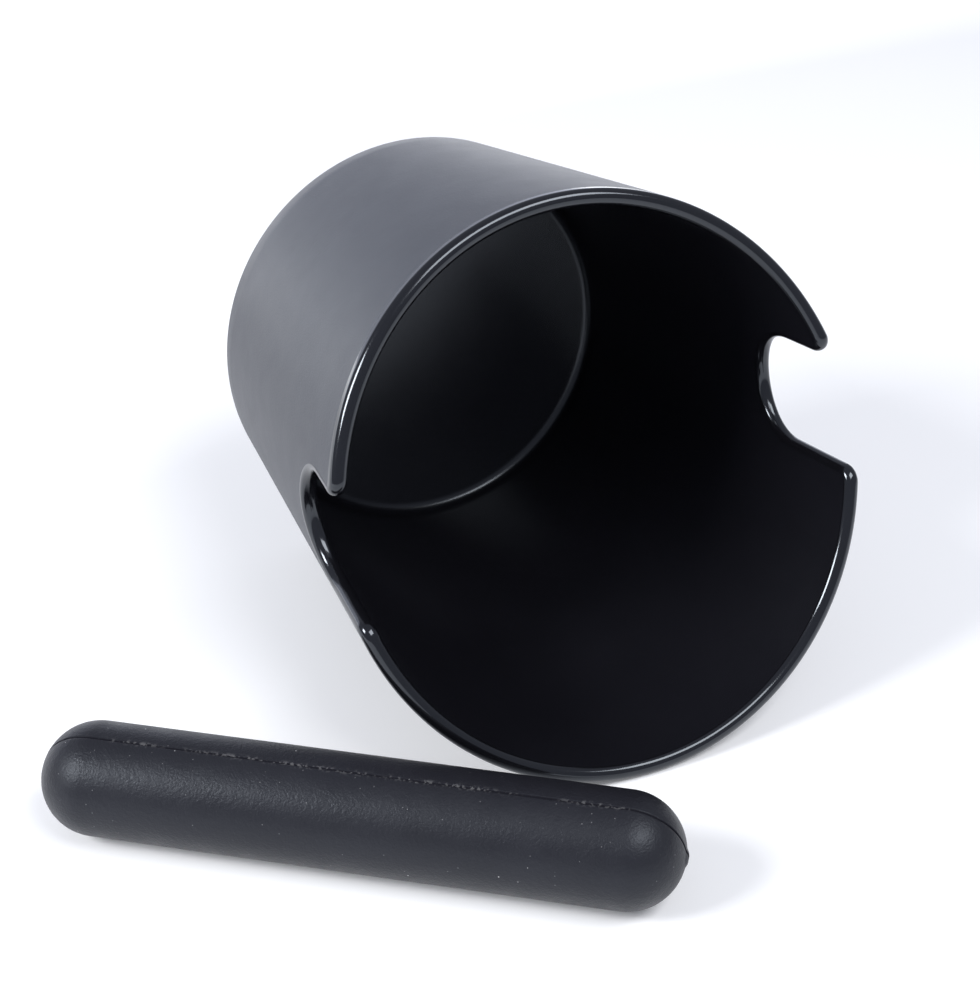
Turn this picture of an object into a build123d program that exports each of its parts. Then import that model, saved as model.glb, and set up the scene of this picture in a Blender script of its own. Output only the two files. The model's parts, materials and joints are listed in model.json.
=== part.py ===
from build123d import *
import math
import os

# Espresso knock box: a tapered bucket with a slanted mouth and two U slots, a non-slip ring
# under its base, and a loose knock bar, a steel core covered in rubber, that drops into the
# slots. The box lies on its side with the bar taken out and lying in front of its mouth.
# Millimetres and degrees.

# Bucket, in its own frame: +Z from base to mouth, +X towards the long side of the mouth
MOUTH_RADIUS = 55.2
BASE_RADIUS = 45.15
BODY_HEIGHT = 94.9              # base to mouth along the axis, at the slots
MOUTH_SLANT = 15.33             # angle of the mouth plane to the base
WALL = 3.3
FLOOR_THICKNESS = 4.4
INNER_CORNER_RADIUS = 2.6
OUTER_CORNER_RADIUS = 0.8
RIM_ROUNDING = 1.6

# Slots for the knock bar, one on each side
SLOT_RADIUS = 11.3
SLOT_BOTTOM_HEIGHT = 68.6
SHORT_TIP_RADIUS = 3.0
LONG_TIP_RADIUS = 4.0

# Non-slip ring in a groove under the base
FOOT_INNER_RADIUS = 35.0
FOOT_OUTER_RADIUS = 40.5
FOOT_DEPTH = 1.8
FOOT_PROUD = 0.7
FOOT_EDGE_RADIUS = 0.4

# Knock bar, in its own frame: its axis along X
BAR_RADIUS = 10.85
BAR_LENGTH = 121.2
NUB_RADIUS = 1.9
NUB_HEIGHT = 0.35
CORE_RADIUS = 6.0
CORE_LENGTH = 104.0
CORE_CHAMFER = 1.0

# How the two lie on the surface, measured from the lowest point of the rim
BUCKET_ROLL = 3.64              # turn of the long side away from straight down
BAR_YAW = -37.0                 # turn of the bar away from the line through the slots
BAR_CENTRE_X = -60.63
BAR_CENTRE_Y = 2.92

TAPER = (MOUTH_RADIUS - BASE_RADIUS) / BODY_HEIGHT
TAPER_ANGLE = math.degrees(math.atan(TAPER))
SLANT = math.tan(math.radians(MOUTH_SLANT))
REACH = 1.5 * MOUTH_RADIUS      # how far the cutting shapes go, well past the walls


def mouth_height(x):
    """Height of the mouth plane at a distance x towards the long side."""
    return BODY_HEIGHT + SLANT * x


def outer_radius(height):
    return BASE_RADIUS + TAPER * height


def inner_radius(height):
    return outer_radius(height) - WALL


def round_corner(profile, x, y, radius):
    """Rounds the corner of a flat profile that lies nearest to x, y."""
    corner = profile.vertices().sort_by_distance((x, y, 0))[0]
    return fillet(corner, radius)


def bucket_blank():
    """The cup before its mouth and slots are cut: one half section turned about the axis."""
    top = mouth_height(REACH)
    floor_corner = (inner_radius(FLOOR_THICKNESS), FLOOR_THICKNESS)
    section = make_face(
        Polyline(
            (0, 0),
            (BASE_RADIUS, 0),
            (outer_radius(top), top),
            (inner_radius(top), top),
            floor_corner,
            (0, FLOOR_THICKNESS),
            close=True,
        )
    )
    section = round_corner(section, BASE_RADIUS, 0, OUTER_CORNER_RADIUS)
    section = round_corner(section, *floor_corner, INNER_CORNER_RADIUS)
    return revolve(Plane.XZ * section, Axis.Z)


def mouth_cutter():
    """All that the mouth and the two slots remove, as one side profile pushed through both walls."""
    above = mouth_height(REACH) + REACH
    slot_centre = SLOT_BOTTOM_HEIGHT + SLOT_RADIUS
    short_tip = (-SLOT_RADIUS, mouth_height(-SLOT_RADIUS))
    long_tip = (SLOT_RADIUS, mouth_height(SLOT_RADIUS))
    outline = [
        Polyline((-REACH, mouth_height(-REACH)), short_tip, (-SLOT_RADIUS, slot_centre)),
        ThreePointArc(
            (-SLOT_RADIUS, slot_centre), (0, SLOT_BOTTOM_HEIGHT), (SLOT_RADIUS, slot_centre)
        ),
        Polyline((SLOT_RADIUS, slot_centre), long_tip, (REACH, mouth_height(REACH))),
        Polyline(
            (REACH, mouth_height(REACH)), (REACH, above), (-REACH, above), (-REACH, mouth_height(-REACH))
        ),
    ]
    profile = make_face(Curve() + outline)
    profile = round_corner(profile, *short_tip, SHORT_TIP_RADIUS)
    profile = round_corner(profile, *long_tip, LONG_TIP_RADIUS)
    return extrude(Plane.XZ * profile, amount=REACH, both=True)


def foot_section(rounding):
    """Half section of the ring's space under the base, from its groove's roof to its free face."""
    width = FOOT_OUTER_RADIUS - FOOT_INNER_RADIUS
    middle = (FOOT_INNER_RADIUS + FOOT_OUTER_RADIUS) / 2
    section = Pos(middle, (FOOT_DEPTH - FOOT_PROUD) / 2) * Rectangle(width, FOOT_DEPTH + FOOT_PROUD)
    if rounding:
        section = fillet(section.vertices().group_by(Axis.Y)[0], rounding)
    return section


def bucket():
    """The moulded cup: mouth and slots cut, every edge of the rim rounded, ring groove below."""
    blank = bucket_blank()
    cutter = mouth_cutter()
    cup = blank - cutter
    cup = fillet(new_edges(blank, cutter, combined=cup), RIM_ROUNDING)
    return cup - revolve(Plane.XZ * foot_section(0), Axis.Z)


def foot_ring():
    """The rubber ring pressed into its groove, standing a little proud of the base."""
    return revolve(Plane.XZ * foot_section(FOOT_EDGE_RADIUS), Axis.Z)


def bar_core():
    """The steel rod that gives the bar its weight and strength."""
    rod = Cylinder(CORE_RADIUS, CORE_LENGTH, rotation=(0, 90, 0))
    return chamfer(rod.edges().filter_by(GeomType.CIRCLE), CORE_CHAMFER)


def bar_sleeve():
    """The rubber cover: a capsule moulded round the core, with the moulding nub on one end."""
    straight = BAR_LENGTH - 2 * BAR_RADIUS
    skin = Cylinder(BAR_RADIUS, straight, rotation=(0, 90, 0))
    for end in (-1, 1):
        skin += Pos(end * straight / 2, 0, 0) * Sphere(BAR_RADIUS)
    nub = Cylinder(NUB_RADIUS, BAR_RADIUS + NUB_HEIGHT, rotation=(0, 90, 0))
    skin += Pos(straight / 2 + (BAR_RADIUS + NUB_HEIGHT) / 2, 0, 0) * nub
    return skin - bar_core()


def lie_bucket():
    """The move that lays the cup on its long side, mouth towards -Y, its rim's lowest point at 0."""
    upright_to_lying = Rot(90 - TAPER_ANGLE, 0, 0) * Rot(0, 0, BUCKET_ROLL - 90)
    tilt = math.radians(TAPER_ANGLE)
    rim_radius = MOUTH_RADIUS / (1 - TAPER * SLANT)
    base_y = mouth_height(rim_radius) * math.cos(tilt) + rim_radius * math.sin(tilt)
    return Pos(0, base_y, BASE_RADIUS * math.cos(tilt)) * upright_to_lying


def lie_bar():
    """The move that lays the bar on the surface in front of the mouth."""
    return Pos(BAR_CENTRE_X, BAR_CENTRE_Y, BAR_RADIUS) * Rot(0, 0, BAR_YAW)


def knock_box():
    """All pieces by name, moved so that the origin is under the middle of the whole, on the floor."""
    pieces = {
        "bucket": lie_bucket() * bucket(),
        "foot_ring": lie_bucket() * foot_ring(),
        "bar_sleeve": lie_bar() * bar_sleeve(),
        "bar_core": lie_bar() * bar_core(),
    }
    box = Compound(list(pieces.values())).bounding_box()
    to_origin = Pos(-box.center().X, -box.center().Y, 0)
    return {name: to_origin * piece for name, piece in pieces.items()}


os.makedirs("parts", exist_ok=True)
for name, piece in knock_box().items():
    export_step(piece, f"parts/{name}.step")
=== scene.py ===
import json
import math

import bpy
from mathutils import Matrix, Vector, noise


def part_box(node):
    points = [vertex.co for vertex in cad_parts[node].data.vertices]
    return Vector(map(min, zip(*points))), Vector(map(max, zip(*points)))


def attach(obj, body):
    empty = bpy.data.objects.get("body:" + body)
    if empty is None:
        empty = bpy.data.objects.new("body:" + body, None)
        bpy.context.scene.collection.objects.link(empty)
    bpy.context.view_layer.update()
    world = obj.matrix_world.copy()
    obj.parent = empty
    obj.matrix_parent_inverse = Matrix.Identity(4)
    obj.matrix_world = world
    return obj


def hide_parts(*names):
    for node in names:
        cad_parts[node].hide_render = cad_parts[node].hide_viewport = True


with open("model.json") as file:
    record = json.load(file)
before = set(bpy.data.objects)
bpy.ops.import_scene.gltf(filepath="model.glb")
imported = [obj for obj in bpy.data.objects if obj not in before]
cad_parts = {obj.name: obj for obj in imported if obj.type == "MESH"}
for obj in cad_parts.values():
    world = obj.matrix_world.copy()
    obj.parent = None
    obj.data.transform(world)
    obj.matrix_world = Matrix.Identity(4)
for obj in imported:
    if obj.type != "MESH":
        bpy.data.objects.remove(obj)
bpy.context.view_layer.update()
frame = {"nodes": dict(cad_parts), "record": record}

MM = 0.001

# Bucket, in its own frame: +Z from base to mouth, +X towards the long side of the mouth.
MOUTH_RADIUS = 55.2 * MM
BASE_RADIUS = 45.15 * MM
BODY_HEIGHT = 94.9 * MM
MOUTH_SLANT = math.radians(15.33)
WALL = 3.3 * MM
FLOOR_THICKNESS = 4.4 * MM
INNER_CORNER_RADIUS = 2.6 * MM
OUTER_CORNER_RADIUS = 0.8 * MM
RIM_ROUNDING = 1.6 * MM
POLISHED_MARGIN = 1.0 * MM      # below the rounding, at the mouth
SLOT_MARGIN_SHARE = 0.2         # what is left of it in the slots
SLOT_RADIUS = 11.3 * MM
SLOT_BOTTOM_HEIGHT = 68.6 * MM
SHORT_TIP_RADIUS = 3.0 * MM
LONG_TIP_RADIUS = 4.0 * MM
BUCKET_ROLL = math.radians(3.64)

# Non-slip ring and its groove.
FOOT_INNER_RADIUS = 35.0 * MM
FOOT_OUTER_RADIUS = 40.5 * MM
FOOT_DEPTH = 1.8 * MM
FOOT_PROUD = 0.7 * MM
FOOT_EDGE_RADIUS = 0.4 * MM

# Knock bar, in its own frame: its axis along X.
BAR_RADIUS = 10.85 * MM
BAR_LENGTH = 121.2 * MM
NUB_RADIUS = 1.9 * MM
NUB_HEIGHT = 0.35 * MM
BAR_YAW = math.radians(-37.0)
UNEVEN_DEPTH = 0.05 * MM
UNEVEN_PER_METRE = 60

# Parting line along the top and bottom of the bar: a groove and a ragged ridge beside it.
PARTING_LEAN = math.radians(8.0)
FLASH_HEIGHT = 0.16 * MM
FLASH_WIDTH = 0.22 * MM
RIDGE_SHARE = 0.5               # the ridge's height as a share of the groove's depth
RAGGED_MEAN, RAGGED_SWING = 0.4, 0.8
RAGGED_PER_METRE = 1100
WANDER_SHARE = 0.2              # how far the line wanders, as a share of its width
WANDER_PER_METRE = 350
NOISE_ROWS = ((3, -2), (3, 2))  # where in the noise the lower and the upper line are read
DUST_WIDTH = 0.5 * MM
DUSTY = "near_parting_line"

TAPER = (MOUTH_RADIUS - BASE_RADIUS) / BODY_HEIGHT
SLANT = math.tan(MOUTH_SLANT)
FOOT_MIDDLE_RADIUS = (FOOT_INNER_RADIUS + FOOT_OUTER_RADIUS) / 2
CAP_CENTRE = BAR_LENGTH / 2 - BAR_RADIUS

# How finely each stretch is divided.
LONG_TIP_STEPS = 12
SHORT_TIP_STEPS = 14
LONG_SIDE_STEPS = 8
SHORT_SIDE_STEPS = 6
SLOT_ARC_STEPS = 48
MOUTH_STEPS = 80                # from the mirror plane to a slot
RIM_STEPS = 12                  # over each of the rim's two roundings
WALL_ROWS = 26
WALL_CROWDING = 1.6             # above 1, the rows crowd towards the rim
OUTER_CORNER_STEPS = 5
INNER_CORNER_STEPS = 8
FOOT_STEPS = 256
FOOT_EDGE_STEPS = 5
BAR_STEPS = 160
BAR_END_STEPS = 36
# Turns from the bar's pole of the rings that shape the nub.
NUB_TURNS = (0.004, 0.012, 0.022, 0.034, 0.048, 0.064, 0.082, 0.102, 0.122, 0.14, 0.155, 0.175, 0.2)
LINE_STEP = 0.008               # round the bar, at the parting line
WIDEST_STEP = 0.045
STEP_GROWTH = 1.18
UNDER_RING_SHARE = 0.5          # extra ring on the underside, as a share of the groove's inner radius
BOTTOM_RING_SHARE = 0.6         # extra ring on the inner bottom, as a share of its flat radius
SHARP_ANGLE = math.radians(40)
BAR_SHARP_ANGLE = math.radians(60)


# ---- The bucket's shape

def outer_radius(height):
    return BASE_RADIUS + TAPER * height


def inner_radius(height):
    return outer_radius(height) - WALL


def mouth_height(x):
    return BODY_HEIGHT + SLANT * x


def arc(centre, radius, start, end, count):
    """Points on an arc in a flat profile, angles in radians, without its last point."""
    steps = [start + (end - start) * i / count for i in range(count)]
    return [(centre[0] + radius * math.cos(a), centre[1] + radius * math.sin(a)) for a in steps]


def tip_centre(side, radius):
    """Centre of the arc that rounds the corner between a slot's wall and the mouth plane."""
    x = side * (SLOT_RADIUS + radius)
    return (x, mouth_height(x) - radius / math.cos(MOUTH_SLANT))


def slot_profile():
    """One slot with its rounded tips, from the long side to the short side, as (x, height) points."""
    normal = math.pi / 2 + MOUTH_SLANT
    bottom = (0.0, SLOT_BOTTOM_HEIGHT + SLOT_RADIUS)
    long_tip = tip_centre(1, LONG_TIP_RADIUS)
    short_tip = tip_centre(-1, SHORT_TIP_RADIUS)
    points = arc(long_tip, LONG_TIP_RADIUS, normal, math.pi, LONG_TIP_STEPS)
    points += straight((SLOT_RADIUS, long_tip[1]), (SLOT_RADIUS, bottom[1]), LONG_SIDE_STEPS)
    points += arc(bottom, SLOT_RADIUS, 0, -math.pi, SLOT_ARC_STEPS)
    points += straight((-SLOT_RADIUS, bottom[1]), (-SLOT_RADIUS, short_tip[1]), SHORT_SIDE_STEPS)
    points += arc(short_tip, SHORT_TIP_RADIUS, 0, normal, SHORT_TIP_STEPS)
    return points


def straight(start, end, count):
    """Points on a line, without its last point."""
    return [
        (start[0] + (end[0] - start[0]) * i / count, start[1] + (end[1] - start[1]) * i / count)
        for i in range(count)
    ]


def on_cone(x, height, radius_at):
    """The point of a wall's surface at a place in the side profile, on the +Y side."""
    return Vector((x, math.sqrt(max(radius_at(height) ** 2 - x * x, 0.0)), height))


def mouth_point(angle, radius):
    """Where a wall's surface meets the mouth plane at an angle round the axis."""
    r = radius / (1 - TAPER * SLANT * math.cos(angle))
    return Vector((r * math.cos(angle), r * math.sin(angle), mouth_height(r * math.cos(angle))))


def rim_curves():
    """The rim's outer and inner edges before rounding, as closed rows of matching points."""
    normal = math.pi / 2 + MOUTH_SLANT
    ends = []
    for side, radius in ((1, LONG_TIP_RADIUS), (-1, SHORT_TIP_RADIUS)):
        centre = tip_centre(side, radius)
        x = centre[0] + radius * math.cos(normal)
        outer = on_cone(x, mouth_height(x), outer_radius)
        inner = on_cone(x, mouth_height(x), inner_radius)
        ends.append((math.atan2(outer.y, outer.x), math.atan2(inner.y, inner.x)))
    (long_out, long_in), (short_out, short_in) = ends
    outer, inner = [], []
    for i in range(MOUTH_STEPS):
        outer.append(mouth_point(long_out * i / MOUTH_STEPS, MOUTH_RADIUS))
        inner.append(mouth_point(long_in * i / MOUTH_STEPS, MOUTH_RADIUS - WALL))
    for x, height in slot_profile():
        outer.append(on_cone(x, height, outer_radius))
        inner.append(on_cone(x, height, inner_radius))
    for i in range(MOUTH_STEPS + 1):
        share = i / MOUTH_STEPS
        outer.append(mouth_point(short_out + (math.pi - short_out) * share, MOUTH_RADIUS))
        inner.append(mouth_point(short_in + (math.pi - short_in) * share, MOUTH_RADIUS - WALL))
    return closed_by_mirror(outer), closed_by_mirror(inner)


def closed_by_mirror(half):
    """A half row that starts and ends on the mirror plane, with its other half added."""
    other = [Vector((p.x, -p.y, p.z)) for p in reversed(half[1:-1])]
    return half + other


def column_angles(rim):
    """An angle round the base for each point of the rim, spread by the rim's own length."""
    half = len(rim) // 2 + 1
    lengths = [0.0]
    for i in range(1, half):
        lengths.append(lengths[-1] + (rim[i] - rim[i - 1]).length)
    angles = [math.pi * length / lengths[-1] for length in lengths]
    return angles + [2 * math.pi - a for a in reversed(angles[1:-1])]


def into_wall(curve):
    """For each point of a rim curve, the direction along the wall's surface and away from the rim."""
    directions = []
    for i, point in enumerate(curve):
        along = curve[(i + 1) % len(curve)] - curve[i - 1]
        outward = Vector((point.x, point.y, -TAPER * math.hypot(point.x, point.y)))
        directions.append(along.cross(outward).normalized())
    return directions


def rounded_edge(corner, first, second):
    """Points of the arc that rounds a rim corner, from the side of first to the side of second."""
    half = first.angle(second) / 2
    centre = corner + (first + second).normalized() * (RIM_ROUNDING / math.sin(half))
    start = corner + first * (RIM_ROUNDING / math.tan(half)) - centre
    end = corner + second * (RIM_ROUNDING / math.tan(half)) - centre
    return [centre + start.slerp(end, i / RIM_STEPS) * RIM_ROUNDING for i in range(RIM_STEPS + 1)]


def polished_margin(point):
    """Width of the polished band below the rounding: full at the mouth, narrow in the slots."""
    depth = mouth_height(point.x) - point.z
    share = max(0.0, 1 - depth / SHORT_TIP_RADIUS)
    return POLISHED_MARGIN * (SLOT_MARGIN_SHARE + (1 - SLOT_MARGIN_SHARE) * share)


def rim_rings(outer, inner):
    """Rings from the polished margin of the outer wall over the rounded rim to the inner wall."""
    outer_down = into_wall(outer)
    inner_down = into_wall(inner)
    columns = []
    for o, i, o_down, i_down in zip(outer, inner, outer_down, inner_down):
        across = (i - o).normalized()
        rounded = rounded_edge(o, o_down, across)
        column = [rounded[0] + o_down * polished_margin(o)] + rounded
        column += rounded_edge(i, -across, i_down)
        columns.append(column)
    return [list(ring) for ring in zip(*columns)]


def wall_rings(edge, angles, end_height, radius_at):
    """Rings down a wall's surface from a ring near the rim to a level circle near the base."""
    rings = []
    for row in range(1, WALL_ROWS + 1):
        share = (row / WALL_ROWS) ** WALL_CROWDING
        ring = []
        for point, angle in zip(edge, angles):
            start = math.atan2(point.y, point.x) % (2 * math.pi)
            turn = start + (angle - start) * share
            height = point.z + (end_height - point.z) * share
            r = radius_at(height)
            ring.append(Vector((r * math.cos(turn), r * math.sin(turn), height)))
        rings.append(ring)
    return rings


def level_ring(angles, radius, height):
    return [Vector((radius * math.cos(a), radius * math.sin(a), height)) for a in angles]


def base_profile():
    """Half section of the underside as (radius, height), from the wall's foot to the middle."""
    corner = (BASE_RADIUS - OUTER_CORNER_RADIUS, OUTER_CORNER_RADIUS)
    profile = arc(corner, OUTER_CORNER_RADIUS, 0, -math.pi / 2, OUTER_CORNER_STEPS)
    profile += [(corner[0], 0), (FOOT_OUTER_RADIUS, 0), (FOOT_OUTER_RADIUS, FOOT_DEPTH)]
    profile += [(FOOT_INNER_RADIUS, FOOT_DEPTH), (FOOT_INNER_RADIUS, 0)]
    return profile + [(UNDER_RING_SHARE * FOOT_INNER_RADIUS, 0)]


def inside_profile():
    """Half section of the inner bottom as (radius, height), from the wall's foot to the middle."""
    top = FLOOR_THICKNESS + INNER_CORNER_RADIUS
    centre = (inner_radius(top) - INNER_CORNER_RADIUS, top)
    profile = arc(centre, INNER_CORNER_RADIUS, 0, -math.pi / 2, INNER_CORNER_STEPS)
    return profile + [(centre[0], FLOOR_THICKNESS), (BOTTOM_RING_SHARE * centre[0], FLOOR_THICKNESS)]


# ---- Making meshes

def mesh_from_rings(name, rings, zones, materials, wrapped=False):
    """A closed skin over rings of equal length. zones gives each band's material number.

    A wrapped skin joins its last ring to its first, any other is capped at both ends.
    """
    count = len(rings[0])
    verts = [tuple(p) for ring in rings for p in ring]
    faces, numbers = [], []
    for band in range(len(rings) if wrapped else len(rings) - 1):
        for i in range(count):
            j = (i + 1) % count
            a, b = band * count, (band + 1) % len(rings) * count
            faces.append((a + i, a + j, b + j, b + i))
            numbers.append(zones[band])
    if not wrapped:
        for ring_start, zone, turned in ((0, zones[0], False), (len(verts) - count, zones[-1], True)):
            middle = sum((Vector(verts[ring_start + i]) for i in range(count)), Vector()) / count
            verts.append(tuple(middle))
            for i in range(count):
                pair = (ring_start + i, ring_start + (i + 1) % count)
                faces.append((len(verts) - 1, *(pair if turned else reversed(pair))))
                numbers.append(zone)
    mesh = bpy.data.meshes.new(name)
    mesh.from_pydata(verts, [], faces)
    for material in materials:
        mesh.materials.append(material)
    mesh.polygons.foreach_set("material_index", numbers)
    mesh.update()
    piece = bpy.data.objects.new(name, mesh)
    bpy.context.scene.collection.objects.link(piece)
    return piece


def smooth(piece, sharp_angle=SHARP_ANGLE):
    piece.data.shade_smooth()
    piece.data.set_sharp_from_angle(angle=sharp_angle)


def make_bucket():
    outer, inner = rim_curves()
    angles = column_angles(outer)
    rim = rim_rings(outer, inner)
    inside_top = FLOOR_THICKNESS + INNER_CORNER_RADIUS
    wall = wall_rings(rim[0], angles, OUTER_CORNER_RADIUS, outer_radius)
    inside = wall_rings(rim[-1], angles, inside_top, inner_radius)
    under = [level_ring(angles, r, z) for r, z in base_profile()]
    bottom = [level_ring(angles, r, z) for r, z in inside_profile()]
    outer_part = list(reversed(under[1:])) + list(reversed(wall))
    rings = outer_part + rim + inside + bottom[1:]
    zones = [0] * len(outer_part) + [1] * (len(rim) - 1) + [2] * (len(inside) + len(bottom) - 1)
    materials = [satin_plastic(), rim_plastic(), inside_plastic()]
    piece = mesh_from_rings("bucket_shell", rings, zones, materials)
    smooth(piece)
    return piece


def make_foot_ring():
    angles = [2 * math.pi * i / FOOT_STEPS for i in range(FOOT_STEPS)]
    edge = FOOT_EDGE_RADIUS
    outside = (FOOT_OUTER_RADIUS - edge, edge - FOOT_PROUD)
    inside = (FOOT_INNER_RADIUS + edge, edge - FOOT_PROUD)
    profile = [(FOOT_INNER_RADIUS, FOOT_DEPTH), (FOOT_OUTER_RADIUS, FOOT_DEPTH)]
    profile += arc(outside, edge, 0, -math.pi / 2, FOOT_EDGE_STEPS)
    profile += [(outside[0], -FOOT_PROUD), (inside[0], -FOOT_PROUD)]
    profile += arc(inside, edge, -math.pi / 2, -math.pi, FOOT_EDGE_STEPS)[1:]
    profile += [(FOOT_INNER_RADIUS, inside[1])]
    rings = [level_ring(angles, r, z) for r, z in reversed(profile)]
    zones = [0] * len(rings)
    piece = mesh_from_rings("foot_ring_rubber", rings, zones, [foot_rubber()], wrapped=True)
    smooth(piece)
    return piece


def bar_stations():
    """Where the bar's rings stand: (place along the axis, radius), from its left to its right end."""
    last = NUB_TURNS[-1]
    rest = [last + (math.pi / 2 - last) * i / BAR_END_STEPS for i in range(1, BAR_END_STEPS + 1)]
    turns = [*NUB_TURNS, *rest]
    left = [(-CAP_CENTRE - BAR_RADIUS * math.cos(t), BAR_RADIUS * math.sin(t)) for t in turns]
    middle = [(-CAP_CENTRE + 2 * CAP_CENTRE * i / BAR_STEPS, BAR_RADIUS) for i in range(1, BAR_STEPS)]
    right = [(-x, r) for x, r in reversed(left)]
    return left + middle + right


def bar_angles():
    """Angles round the bar, close together at the two parting lines."""
    step = LINE_STEP
    near = [0.0]
    while near[-1] < math.pi / 2:
        near.append(near[-1] + step)
        step = min(step * STEP_GROWTH, WIDEST_STEP)
    quarter = [a * (math.pi / 2) / near[-1] for a in near]
    half = quarter + [math.pi - a for a in reversed(quarter[:-1])]
    return half[:-1] + [math.pi + a for a in half[:-1]]


def near_zero(value, width):
    """1 at zero, falling smoothly to nothing within a few widths."""
    return math.exp(-((value / width) ** 2))


def flash(point):
    """The parting line: a ragged ridge of moulding flash beside a fine groove in the bar's skin."""
    wander = WANDER_SHARE * FLASH_WIDTH * noise.noise(point * WANDER_PER_METRE)
    row = Vector((point.x * RAGGED_PER_METRE, *NOISE_ROWS[point.z > 0]))
    ragged = RAGGED_MEAN + RAGGED_SWING * noise.noise(row)
    ridge = RIDGE_SHARE * max(ragged, 0.0) * near_zero(point.y - wander - FLASH_WIDTH, FLASH_WIDTH)
    return FLASH_HEIGHT * (ridge - near_zero(point.y - wander, FLASH_WIDTH))


def nub(point):
    """How far the small moulding nub stands out of the right end."""
    if point.x < 0:
        return 0.0
    edge = 1 - (math.hypot(point.y, point.z) / NUB_RADIUS) ** 2
    share = max(edge, 0.0)
    return NUB_HEIGHT * share * share * (3 - 2 * share)


def uneven(point):
    """Slight waviness of thick moulded rubber, never outside the plain capsule."""
    return UNEVEN_DEPTH * (noise.noise(point * UNEVEN_PER_METRE) - 1) / 2


def make_bar():
    rings = []
    for x, r in bar_stations():
        ring = []
        for a in bar_angles():
            skin = Vector((x, r * math.sin(a), r * math.cos(a)))
            core = Vector((min(max(x, -CAP_CENTRE), CAP_CENTRE), 0, 0))
            outward = (skin - core).normalized()
            ring.append(skin + outward * (flash(skin) + nub(skin) + uneven(skin)))
        rings.append(ring)
    piece = mesh_from_rings("bar_rubber_sleeve", rings, [0] * len(rings), [bar_rubber()])
    dust = [near_zero(vertex.co.y, DUST_WIDTH) for vertex in piece.data.vertices]
    piece.data.attributes.new(DUSTY, "FLOAT", "POINT").data.foreach_set("value", dust)
    smooth(piece, BAR_SHARP_ANGLE)
    return piece


# ---- Materials

COOL_GLOSS = (0.84, 0.91, 1.0, 1)
MOST_OF_NOISE = (0.3, 0.7)      # nearly all values of a noise lie between these
ROUGHNESS_DRIFT = 0.015
PLASTIC_SPECULAR = 0.5
RIM_SPECULAR = 0.65
RUBBER_SPECULAR = 0.34
DUST_COLOUR = (0.45, 0.45, 0.46, 1)
SPECK_EDGE = 1.5                # where a speck has faded out, in radii


class Nodes:
    """A material's node tree with one shader, and short ways to add to it."""

    def __init__(self, name):
        self.material = bpy.data.materials.new(name)
        self.material.use_nodes = True
        self.tree = self.material.node_tree
        self.shader = self.tree.nodes["Principled BSDF"]
        self.place = self.add("ShaderNodeTexCoord").outputs["Object"]

    def add(self, kind, **settings):
        node = self.tree.nodes.new(kind)
        for key, value in settings.items():
            setattr(node, key, value)
        return node

    def link(self, output, socket):
        self.tree.links.new(output, socket)

    def noise(self, per_metre, detail=2, roughness=0.5):
        node = self.add("ShaderNodeTexNoise")
        node.inputs["Scale"].default_value = per_metre
        node.inputs["Detail"].default_value = detail
        node.inputs["Roughness"].default_value = roughness
        self.link(self.place, node.inputs["Vector"])
        return node.outputs["Fac"]

    def cells(self, per_metre):
        node = self.add("ShaderNodeTexVoronoi")
        node.inputs["Scale"].default_value = per_metre
        self.link(self.place, node.inputs["Vector"])
        return node.outputs

    def specks(self, per_metre, radius, threshold):
        """Round specks in those cells whose own random number is above the threshold."""
        cells = self.cells(per_metre)
        chance = self.add("ShaderNodeSeparateColor")
        self.link(cells["Color"], chance.inputs["Color"])
        chosen = self.maths("GREATER_THAN", chance.outputs["Red"], threshold)
        disc = self.spread(cells["Distance"], (radius, SPECK_EDGE * radius), (1, 0))
        return self.maths("MULTIPLY", disc, chosen)

    def spread(self, value, source, target):
        """Maps a value from one range to another and holds it there."""
        node = self.add("ShaderNodeMapRange")
        for key, number in zip(("From Min", "From Max", "To Min", "To Max"), (*source, *target)):
            node.inputs[key].default_value = number
        self.link(value, node.inputs["Value"])
        return node.outputs["Result"]

    def maths(self, operation, a, b):
        node = self.add("ShaderNodeMath", operation=operation)
        for socket, value in zip(node.inputs, (a, b)):
            if isinstance(value, (int, float)):
                socket.default_value = value
            else:
                self.link(value, socket)
        return node.outputs["Value"]

    def mix(self, share, first, second):
        node = self.add("ShaderNodeMix", data_type="RGBA")
        self.link(share, node.inputs["Factor"])
        node.inputs["A"].default_value = (*first, 1)
        node.inputs["B"].default_value = (*second, 1)
        return node.outputs["Result"]

    def bump(self, height, distance, under=None):
        node = self.add("ShaderNodeBump")
        node.inputs["Distance"].default_value = distance
        self.link(height, node.inputs["Height"])
        if under is not None:
            self.link(under, node.inputs["Normal"])
        return node.outputs["Normal"]


def plastic(name, dark, light, roughness, grain, specular=PLASTIC_SPECULAR):
    """Black moulded plastic or rubber: the colour and roughness drift a little, with fine grain."""
    n = Nodes(name)
    n.shader.inputs["Specular Tint"].default_value = COOL_GLOSS
    n.shader.inputs["Specular IOR Level"].default_value = specular
    n.link(n.mix(n.noise(45, detail=3), dark, light), n.shader.inputs["Base Color"])
    drift = (roughness - ROUGHNESS_DRIFT, roughness + ROUGHNESS_DRIFT)
    rough = n.spread(n.noise(160, detail=4, roughness=0.6), MOST_OF_NOISE, drift)
    n.link(rough, n.shader.inputs["Roughness"])
    n.link(n.bump(n.noise(2600), grain), n.shader.inputs["Normal"])
    return n.material


def satin_plastic():
    return plastic(
        "satin_black_plastic",
        dark=(0.012, 0.0135, 0.02),
        light=(0.016, 0.018, 0.027),
        roughness=0.42,
        grain=0.045 * MM,
    )


def rim_plastic():
    return plastic(
        "polished_black_rim",
        dark=(0.004, 0.004, 0.005),
        light=(0.006, 0.006, 0.008),
        roughness=0.12,
        grain=0.003 * MM,
        specular=RIM_SPECULAR,
    )


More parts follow.
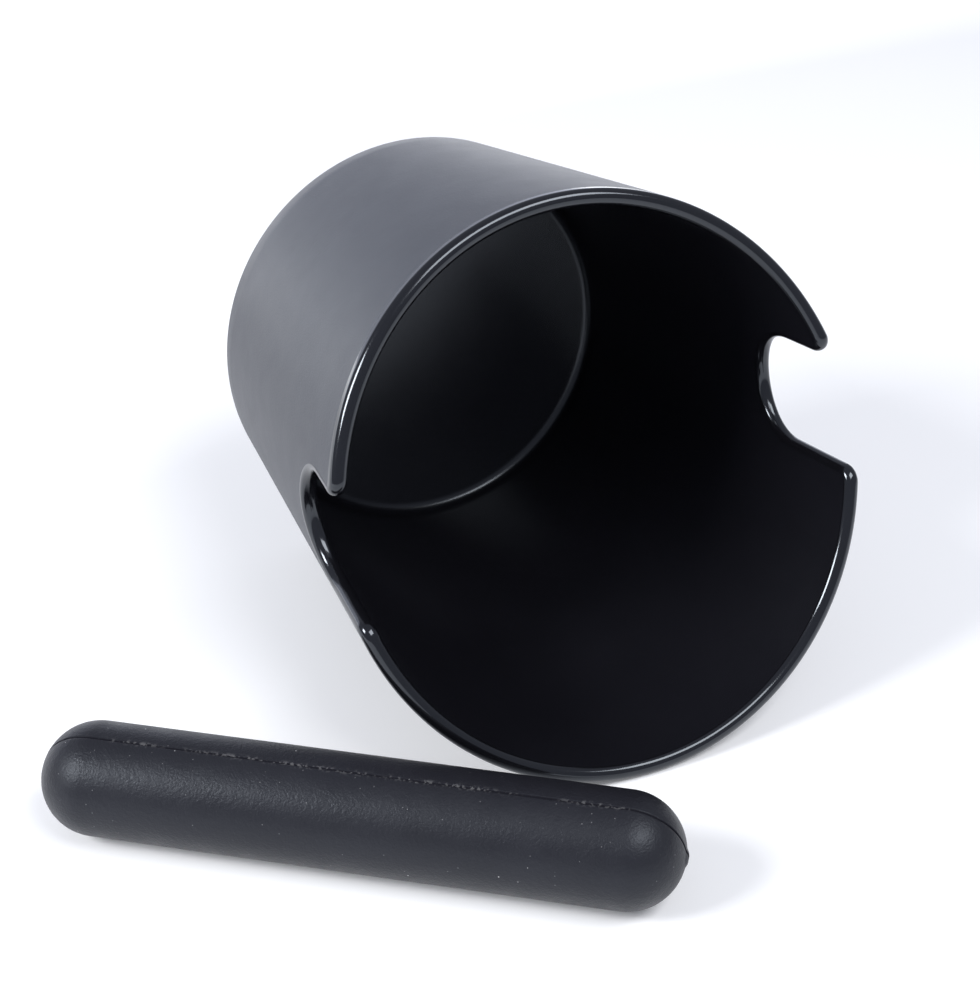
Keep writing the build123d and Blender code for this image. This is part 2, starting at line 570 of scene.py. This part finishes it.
def inside_plastic():
    return plastic(
        "smooth_black_inside",
        dark=(0.005, 0.005, 0.007),
        light=(0.008, 0.008, 0.011),
        roughness=0.24,
        grain=0.006 * MM,
    )


def foot_rubber():
    return plastic(
        "black_foot_rubber",
        dark=(0.016, 0.016, 0.017),
        light=(0.024, 0.024, 0.026),
        roughness=0.75,
        grain=0.03 * MM,
    )


def dust_share(n, near_line):
    """How much dust lies at each place: loose specks everywhere, ragged patches along the line."""
    bright = n.specks(700, radius=0.07, threshold=0.965)
    faint = n.maths("MULTIPLY", n.specks(1300, radius=0.11, threshold=0.94), 0.25)
    ragged = n.spread(n.noise(1500, detail=3), (0.52, 0.6), (0, 0.16))
    patchy = n.maths("MULTIPLY", ragged, n.spread(n.noise(90), (0.4, 0.55), (0, 1)))
    gathered = n.maths("MULTIPLY", patchy, near_line)
    return n.maths("MAXIMUM", n.maths("MAXIMUM", bright, faint), gathered)


def bar_rubber():
    """Matte black rubber with fine grain and pale dust, its parting line without any gloss."""
    n = Nodes("black_bar_rubber")
    near_line = n.add("ShaderNodeAttribute", attribute_name=DUSTY).outputs["Fac"]
    base = n.add("ShaderNodeMix", data_type="RGBA")
    rubber = n.mix(n.noise(60, detail=4, roughness=0.6), (0.009, 0.009, 0.012), (0.014, 0.014, 0.019))
    n.link(rubber, base.inputs["A"])
    base.inputs["B"].default_value = DUST_COLOUR
    n.link(dust_share(n, near_line), base.inputs["Factor"])
    n.link(base.outputs["Result"], n.shader.inputs["Base Color"])
    rough = n.spread(n.noise(200, detail=4, roughness=0.6), MOST_OF_NOISE, (0.38, 0.47))
    n.link(rough, n.shader.inputs["Roughness"])
    n.shader.inputs["Specular Tint"].default_value = COOL_GLOSS
    gloss = n.spread(near_line, (0.65, 0.95), (RUBBER_SPECULAR, 0))
    n.link(gloss, n.shader.inputs["Specular IOR Level"])
    grain = n.bump(n.noise(2400, detail=3), 0.07 * MM)
    n.link(n.bump(n.cells(900)["Distance"], 0.03 * MM, under=grain), n.shader.inputs["Normal"])
    return n.material


def core_steel():
    n = Nodes("turned_steel")
    n.shader.inputs["Metallic"].default_value = 1.0
    steel = n.mix(n.noise(80, detail=3), (0.42, 0.42, 0.43), (0.55, 0.55, 0.56))
    n.link(steel, n.shader.inputs["Base Color"])
    rough = n.spread(n.noise(700, detail=3), MOST_OF_NOISE, (0.25, 0.4))
    n.link(rough, n.shader.inputs["Roughness"])
    return n.material


# ---- Placing

def bucket_place():
    """The bucket's own frame in the row's frame, from the record's mount under its base."""
    base = next(m for m in frame["record"]["mounts"] if m["name"] == "base")
    axis = -Vector(base["axis"])
    down = axis.cross(Vector((-1, 0, 0))).normalized()
    side = axis.cross(down)
    long_side = math.cos(BUCKET_ROLL) * down + math.sin(BUCKET_ROLL) * side
    slot_side = axis.cross(long_side)
    origin = Vector(base["pos_m"]) - slot_side * FOOT_MIDDLE_RADIUS + axis * FOOT_PROUD
    turn = Matrix((long_side, slot_side, axis)).transposed()
    return Matrix.Translation(origin) @ turn.to_4x4()


def bar_place():
    low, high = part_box("bar_core")
    lean = Matrix.Rotation(PARTING_LEAN, 4, "X")
    return Matrix.Translation((low + high) / 2) @ Matrix.Rotation(BAR_YAW, 4, "Z") @ lean


def place(piece, matrix, body, node, slot):
    piece.data.transform(matrix)
    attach(piece, body)
    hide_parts(node)


# ---- Stage

COOL_LIGHT = (0.82, 0.86, 1.0)
WHITE_LIGHT = (1.0, 1.0, 1.0)
WORLD_STRENGTH = 0.42
SOFTBOX_DISTANCE = 1.1
PANEL_DISTANCE = 2.4
LIGHT_AIM = Vector((0, 0, 40)) * MM
VIEW_AZIMUTH = math.radians(24.47)
VIEW_ELEVATION = math.radians(31.21)
VIEW_ROLL = math.radians(-0.57)
VIEW_LENS = 72.0
CAMERA_PLACE = Vector((-126.74, -306.33, 248.82)) * MM
FLOOR_SIZE = 6.0
PAINTED_GLOW_BEHIND = (0.3, 0.9)        # metres behind the origin between which the floor's painted glow grows
PAINTED_GLOW = (0.14, 2.8)              # its strength before and after that: painted light, faint near the object, strong far behind


def floor_material():
    n = Nodes("pale_floor_with_painted_glow")
    pale = n.mix(n.noise(6), (0.86, 0.865, 0.88), (0.88, 0.885, 0.9))
    n.link(pale, n.shader.inputs["Base Color"])
    n.shader.inputs["Roughness"].default_value = 0.6
    # The floor glows though it is no lamp. This is painted light: near the object it lifts the
    # shadows, and far behind it is reflected bright in the bucket's outer wall and white along its
    # top edge.
    n.shader.inputs["Emission Color"].default_value = (0.97, 0.98, 1, 1)
    place = n.add("ShaderNodeSeparateXYZ")
    n.link(n.place, place.inputs["Vector"])
    n.link(n.spread(place.outputs["Y"], PAINTED_GLOW_BEHIND, PAINTED_GLOW), n.shader.inputs["Emission Strength"])
    return n.material


def make_floor():
    mesh = bpy.data.meshes.new("floor")
    half = FLOOR_SIZE / 2
    corners = [(-half, -half, 0), (half, -half, 0), (half, half, 0), (-half, half, 0)]
    mesh.from_pydata(corners, [], [(0, 1, 2, 3)])
    mesh.materials.append(floor_material())
    floor = bpy.data.objects.new("floor", mesh)
    bpy.context.scene.collection.objects.link(floor)


def make_light(name, azimuth, elevation, distance, size, radiance, colour=WHITE_LIGHT):
    """A softbox that faces the object. Azimuth 0 is in front of the mouth and grows towards +X."""
    a, e = math.radians(azimuth), math.radians(elevation)
    away = Vector((math.sin(a) * math.cos(e), -math.cos(a) * math.cos(e), math.sin(e)))
    data = bpy.data.lights.new(name, "AREA")
    data.shape = "RECTANGLE"
    data.size, data.size_y = size
    data.energy = radiance * math.pi * data.size * data.size_y
    data.color = colour
    light = bpy.data.objects.new(name, data)
    light.location = LIGHT_AIM + away * distance
    light.rotation_euler = away.to_track_quat("Z", "Y").to_euler()
    bpy.context.scene.collection.objects.link(light)


def make_world():
    world = bpy.data.worlds.new("studio")
    world.use_nodes = True
    background = world.node_tree.nodes["Background"]
    background.inputs["Color"].default_value = (*COOL_LIGHT, 1)
    background.inputs["Strength"].default_value = WORLD_STRENGTH
    bpy.context.scene.world = world


def make_camera():
    data = bpy.data.cameras.new("camera")
    data.lens = VIEW_LENS
    camera = bpy.data.objects.new("camera", data)
    bpy.context.scene.collection.objects.link(camera)
    forward = Vector((
        math.sin(VIEW_AZIMUTH) * math.cos(VIEW_ELEVATION),
        math.cos(VIEW_AZIMUTH) * math.cos(VIEW_ELEVATION),
        -math.sin(VIEW_ELEVATION),
    ))
    rotation = forward.to_track_quat("-Z", "Y").to_matrix() @ Matrix.Rotation(VIEW_ROLL, 3, "Z")
    camera.matrix_world = Matrix.Translation(CAMERA_PLACE) @ rotation.to_4x4()
    bpy.context.scene.camera = camera


bucket = make_bucket()
place(bucket, bucket_place(), "box", "bucket", "bucket_plastic")
foot = make_foot_ring()
place(foot, bucket_place(), "box", "foot_ring", "foot_rubber")
bar = make_bar()
place(bar, bar_place(), "knock_bar", "bar_sleeve", "bar_rubber")
frame["nodes"]["bar_core"].data.materials.clear()
frame["nodes"]["bar_core"].data.materials.append(core_steel())

make_floor()
make_world()
make_light("left_softbox", -88, 35, SOFTBOX_DISTANCE, size=(0.36, 0.36), radiance=26)
make_light("right_softbox", 25, 55, SOFTBOX_DISTANCE, size=(0.75, 0.42), radiance=8)
make_light("back_panel", 180, 8, PANEL_DISTANCE, size=(4.5, 0.9), radiance=1, colour=COOL_LIGHT)
make_camera()
bpy.context.scene.view_settings.view_transform = "Standard"
